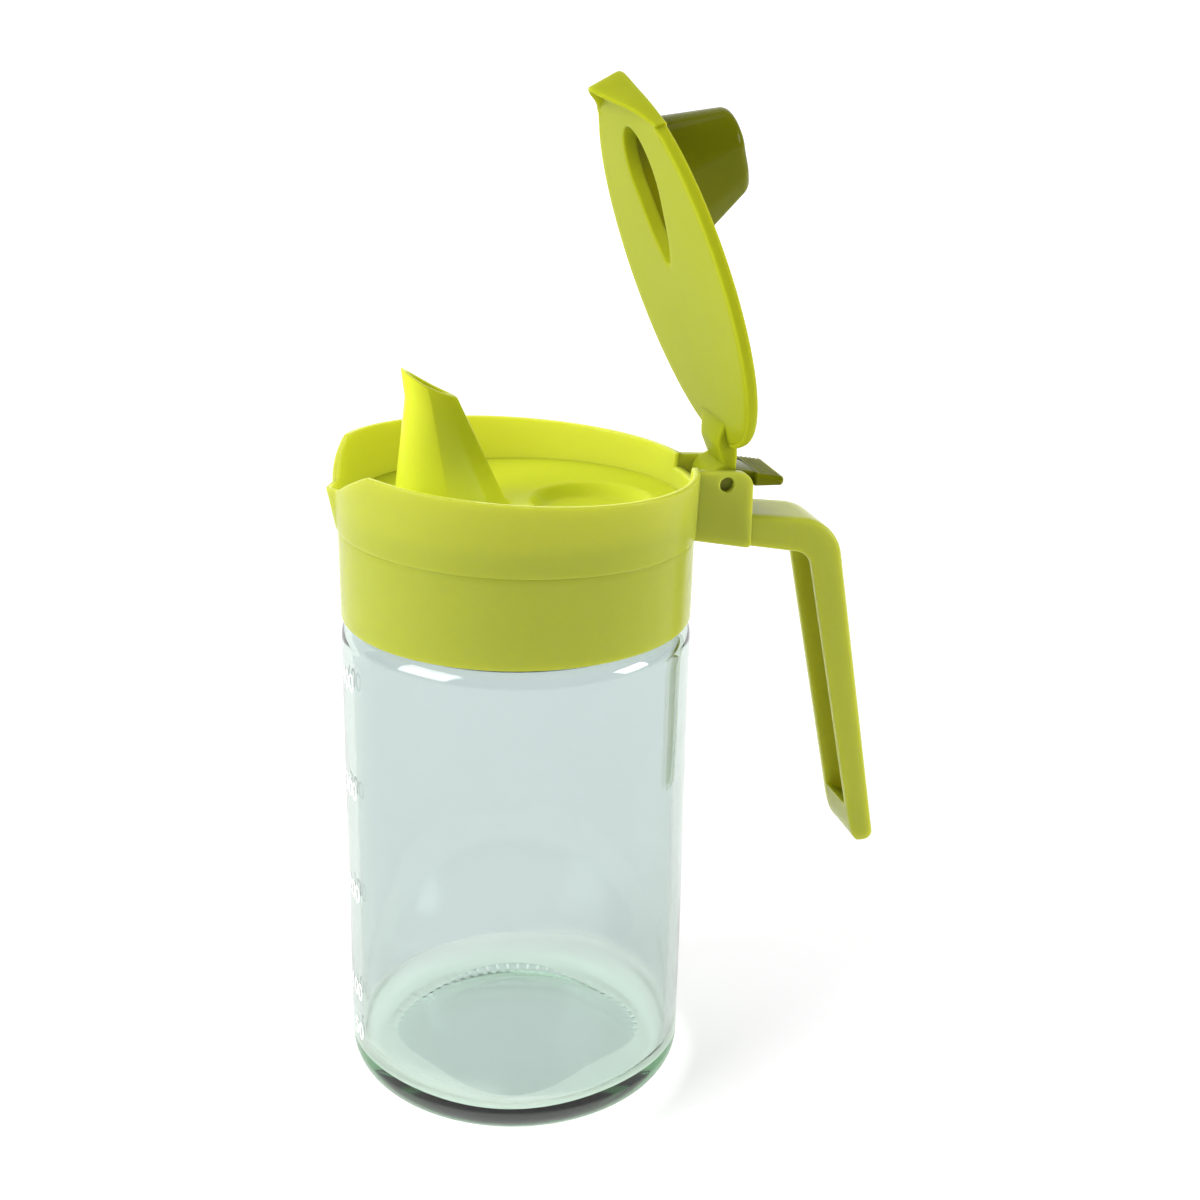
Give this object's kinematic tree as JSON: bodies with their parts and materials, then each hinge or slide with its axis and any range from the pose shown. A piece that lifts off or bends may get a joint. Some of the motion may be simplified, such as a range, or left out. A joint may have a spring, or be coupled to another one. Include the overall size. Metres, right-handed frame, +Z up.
{
  "type": "oil dispenser bottle",
  "caption": "Straight glass oil jar with a screwed plastic pouring head, leaning spout in a drip tray, channel handle and a thumb-lever lid with a hollow spout cover, shown open.",
  "frame": {"origin": "centre of the jar's foot, in the plane of its bearing ring", "axes": "+Z up along the jar's axis, +X towards the handle, -X towards the pouring beak, +Y along the lid hinge"},
  "size_m": [0.1239, 0.0788, 0.2209],
  "materials": {
    "glass": "clear, faintly green glass",
    "seal": "translucent white soft seal",
    "lime_plastic": "semi-gloss moulded, slightly translucent",
    "lime_plastic_insert": "semi-gloss moulded, slightly translucent",
    "lime_plastic_lid": "semi-gloss moulded",
    "pin_plastic": "moulded"
  },
  "bodies": {
    "jar": {"glass_jar": "glass"},
    "seal": {"seal_ring": "seal"},
    "pouring_head": {"collar": "lime_plastic", "pourer_insert": "lime_plastic_insert", "hinge_pin": "pin_plastic"},
    "lid": {"lid": "lime_plastic_lid"}
  },
  "joints": [
    {"name": "head_lift", "type": "slide", "parent": "jar", "child": "seal", "axis": [0, 0, 1], "range_m": [0, 0.0076]},
    {"name": "head_turn", "type": "hinge", "parent": "seal", "child": "pouring_head", "pos_m": [0, 0, 0.117], "axis": [0, 0, 1], "range_deg": [0, 450]},
    {"name": "lid_hinge", "type": "hinge", "parent": "pouring_head", "child": "lid", "pos_m": [0.0438, 0, 0.137], "axis": [0, 1, 0], "range_deg": [-67.7, 12]}
  ],
  "couplings": [
    {"joint": "head_lift", "follows": "head_turn", "m_per_rad": 0.00095493}
  ]
}
